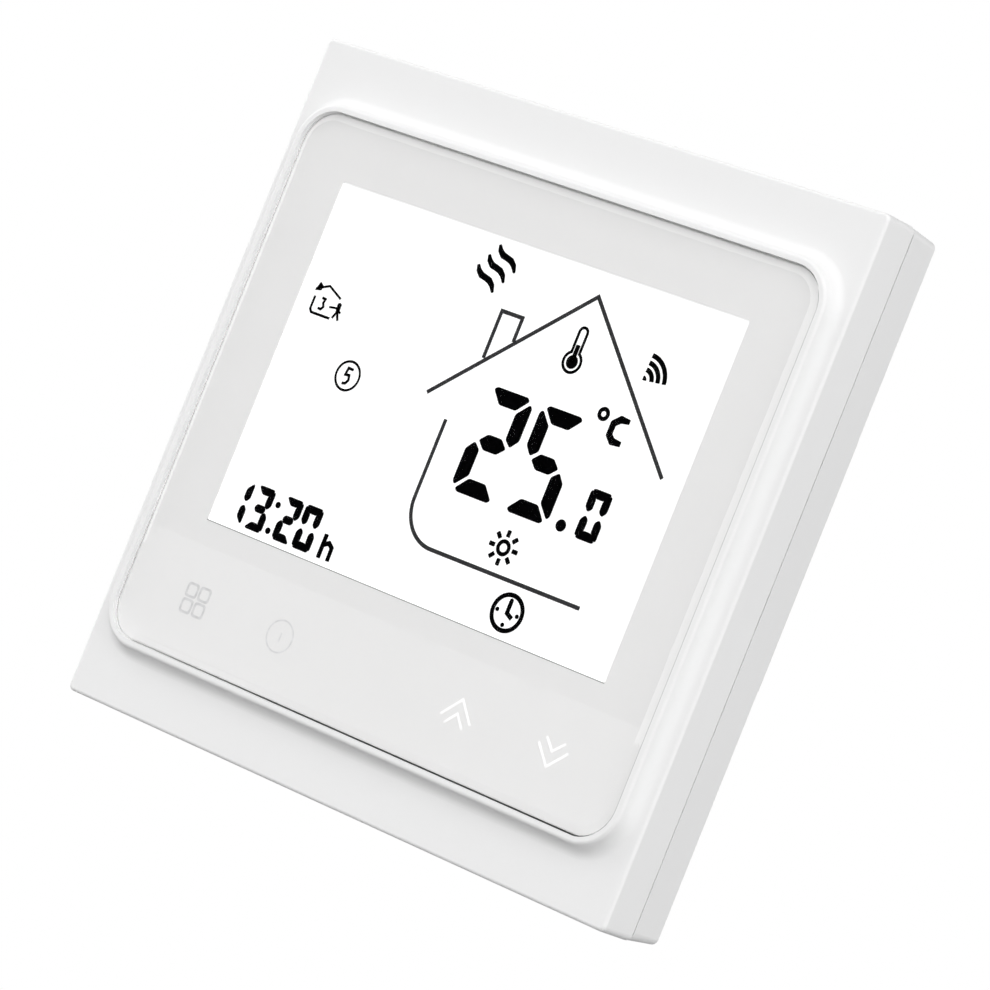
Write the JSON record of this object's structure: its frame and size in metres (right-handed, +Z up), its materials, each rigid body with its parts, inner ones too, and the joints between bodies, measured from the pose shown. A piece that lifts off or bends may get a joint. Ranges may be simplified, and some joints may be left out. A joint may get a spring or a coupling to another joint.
{
  "type": "wall thermostat",
  "caption": "Square flush room thermostat: white face with a raised lens over a segment display and touch keys, plug-in panel, steel plate and in-wall power unit with screw terminals.",
  "frame": {"origin": "centre between the two wall screws, on the wall surface (the rear face of the steel mounting plate)", "axes": "+Y into the wall, the face looks along -Y, +X to the right of someone looking at it, +Z up"},
  "size_m": [0.09, 0.043, 0.09],
  "materials": {
    "white_shell": "satin moulded shell",
    "lens_clear": "clear acrylic, polished",
    "mask_print": "pearl-white printed film",
    "tape_white": "double-sided foam tape",
    "display_glass": "liquid crystal glass",
    "diffuser": "clear light guide",
    "white_part": "matt moulding",
    "led_body": "white with yellow phosphor",
    "zebra_rubber": "layered silicone",
    "board_green": "solder-masked laminate",
    "chip_black": "moulded epoxy",
    "shield_tin": "tin-plated can on a laminate",
    "crystal_can": "drawn metal can",
    "bead_epoxy": "epoxy bead with tinned leads",
    "spring_steel": "plated spring wire",
    "screw_steel": "zinc-plated",
    "plate_steel": "galvanised sheet",
    "pin_gold": "gold-flashed pins",
    "terminal_plastic": "green moulding",
    "terminal_metal": "tinned brass",
    "clamp_steel": "yellow-passivated steel",
    "relay_clear": "black cover",
    "coil_copper": "enamelled winding",
    "yoke_iron": "nickel-plated iron",
    "contact_metal": "copper alloy with silver contacts",
    "ferrite": "sintered ferrite",
    "bobbin_black": "moulded bobbin",
    "winding_tape": "yellow film tape",
    "can_sleeve": "shrink sleeve",
    "film_box": "yellow moulded box",
    "varistor_blue": "dipped epoxy",
    "fuse_brown": "moulded fuse",
    "label_paper": "blank label"
  },
  "bodies": {
    "power_unit": {"bulk_capacitors": "can_sleeve", "case_lid": "white_part", "case_screws": "screw_steel", "converter_chip": "chip_black", "film_capacitor": "film_box", "fuse_link": "fuse_brown", "header_pins": "pin_gold", "mounting_plate": "plate_steel", "pin_header": "chip_black", "power_board": "board_green", "power_case": "white_part", "rating_label": "label_paper", "relay_base": "bobbin_black", "relay_coil": "coil_copper", "relay_cover": "relay_clear", "relay_fixed_contact": "contact_metal", "relay_yoke": "yoke_iron", "terminal_contacts": "terminal_metal", "terminal_housing": "terminal_plastic", "transformer_bobbin": "bobbin_black", "transformer_core": "ferrite", "transformer_winding": "winding_tape", "varistor": "varistor_blue"},
    "frame_ring": {"outer_frame": "white_shell"},
    "front_panel": {"touch_lens": "lens_clear", "mask_film": "mask_print", "lens_tape": "tape_white", "front_bezel": "white_shell", "display_cell": "display_glass", "light_guide": "diffuser", "display_holder": "white_part", "backlight_leds": "led_body", "zebra_strip": "zebra_rubber", "control_board": "board_green", "mcu_chip": "chip_black", "touch_chip": "chip_black", "wifi_module": "shield_tin", "clock_crystal": "crystal_can", "room_sensor": "bead_epoxy", "smd_passives": "shield_tin", "board_socket": "chip_black", "touch_springs": "spring_steel", "board_screws": "screw_steel", "cover_screws": "screw_steel", "rear_cover": "white_part"},
    "relay_arm": {"relay_armature": "yoke_iron", "relay_blade": "contact_metal"},
    "clamp_screw_1": {"terminal_screw_1": "screw_steel"},
    "clamp_cage_1": {"terminal_cage_1": "clamp_steel"},
    "clamp_screw_2": {"terminal_screw_2": "screw_steel"},
    "clamp_cage_2": {"terminal_cage_2": "clamp_steel"},
    "clamp_screw_3": {"terminal_screw_3": "screw_steel"},
    "clamp_cage_3": {"terminal_cage_3": "clamp_steel"},
    "clamp_screw_4": {"terminal_screw_4": "screw_steel"},
    "clamp_cage_4": {"terminal_cage_4": "clamp_steel"},
    "clamp_screw_5": {"terminal_screw_5": "screw_steel"},
    "clamp_cage_5": {"terminal_cage_5": "clamp_steel"},
    "clamp_screw_6": {"terminal_screw_6": "screw_steel"},
    "clamp_cage_6": {"terminal_cage_6": "clamp_steel"}
  },
  "joints": [
    {"name": "frame_pull", "type": "slide", "parent": "power_unit", "child": "frame_ring", "axis": [0, -1, 0], "range_m": [0, 0.03]},
    {"name": "panel_pull", "type": "slide", "parent": "frame_ring", "child": "front_panel", "axis": [0, -1, 0], "range_m": [0, 0.04]},
    {"name": "relay_pull_in", "type": "hinge", "parent": "power_unit", "child": "relay_arm", "pos_m": [-0.00635, 0.018, -0.0042], "axis": [0, 0, -1], "range_deg": [0, 3.6], "stiffness_Nm_per_rad": 0.008, "springref_deg": -17.19},
    {"name": "clamp_turn_1", "type": "hinge", "parent": "power_unit", "child": "clamp_screw_1", "pos_m": [-0.01588, 0.0151, -0.0187], "axis": [0, -1, 0], "range_deg": [0, 1800]},
    {"name": "clamp_rise_1", "type": "slide", "parent": "power_unit", "child": "clamp_cage_1", "axis": [0, 1, 0], "range_m": [0, 0.0025]},
    {"name": "clamp_turn_2", "type": "hinge", "parent": "power_unit", "child": "clamp_screw_2", "pos_m": [-0.00953, 0.0151, -0.0187], "axis": [0, -1, 0], "range_deg": [0, 1800]},
    {"name": "clamp_rise_2", "type": "slide", "parent": "power_unit", "child": "clamp_cage_2", "axis": [0, 1, 0], "range_m": [0, 0.0025]},
    {"name": "clamp_turn_3", "type": "hinge", "parent": "power_unit", "child": "clamp_screw_3", "pos_m": [-0.00317, 0.0151, -0.0187], "axis": [0, -1, 0], "range_deg": [0, 1800]},
    {"name": "clamp_rise_3", "type": "slide", "parent": "power_unit", "child": "clamp_cage_3", "axis": [0, 1, 0], "range_m": [0, 0.0025]},
    {"name": "clamp_turn_4", "type": "hinge", "parent": "power_unit", "child": "clamp_screw_4", "pos_m": [0.00317, 0.0151, -0.0187], "axis": [0, -1, 0], "range_deg": [0, 1800]},
    {"name": "clamp_rise_4", "type": "slide", "parent": "power_unit", "child": "clamp_cage_4", "axis": [0, 1, 0], "range_m": [0, 0.0025]},
    {"name": "clamp_turn_5", "type": "hinge", "parent": "power_unit", "child": "clamp_screw_5", "pos_m": [0.00953, 0.0151, -0.0187], "axis": [0, -1, 0], "range_deg": [0, 1800]},
    {"name": "clamp_rise_5", "type": "slide", "parent": "power_unit", "child": "clamp_cage_5", "axis": [0, 1, 0], "range_m": [0, 0.0025]},
    {"name": "clamp_turn_6", "type": "hinge", "parent": "power_unit", "child": "clamp_screw_6", "pos_m": [0.01588, 0.0151, -0.0187], "axis": [0, -1, 0], "range_deg": [0, 1800]},
    {"name": "clamp_rise_6", "type": "slide", "parent": "power_unit", "child": "clamp_cage_6", "axis": [0, 1, 0], "range_m": [0, 0.0025]}
  ],
  "couplings": [
    {"joint": "clamp_turn_1", "follows": "clamp_rise_1", "rad_per_m": 12566},
    {"joint": "clamp_turn_2", "follows": "clamp_rise_2", "rad_per_m": 12566},
    {"joint": "clamp_turn_3", "follows": "clamp_rise_3", "rad_per_m": 12566},
    {"joint": "clamp_turn_4", "follows": "clamp_rise_4", "rad_per_m": 12566},
    {"joint": "clamp_turn_5", "follows": "clamp_rise_5", "rad_per_m": 12566},
    {"joint": "clamp_turn_6", "follows": "clamp_rise_6", "rad_per_m": 12566}
  ]
}
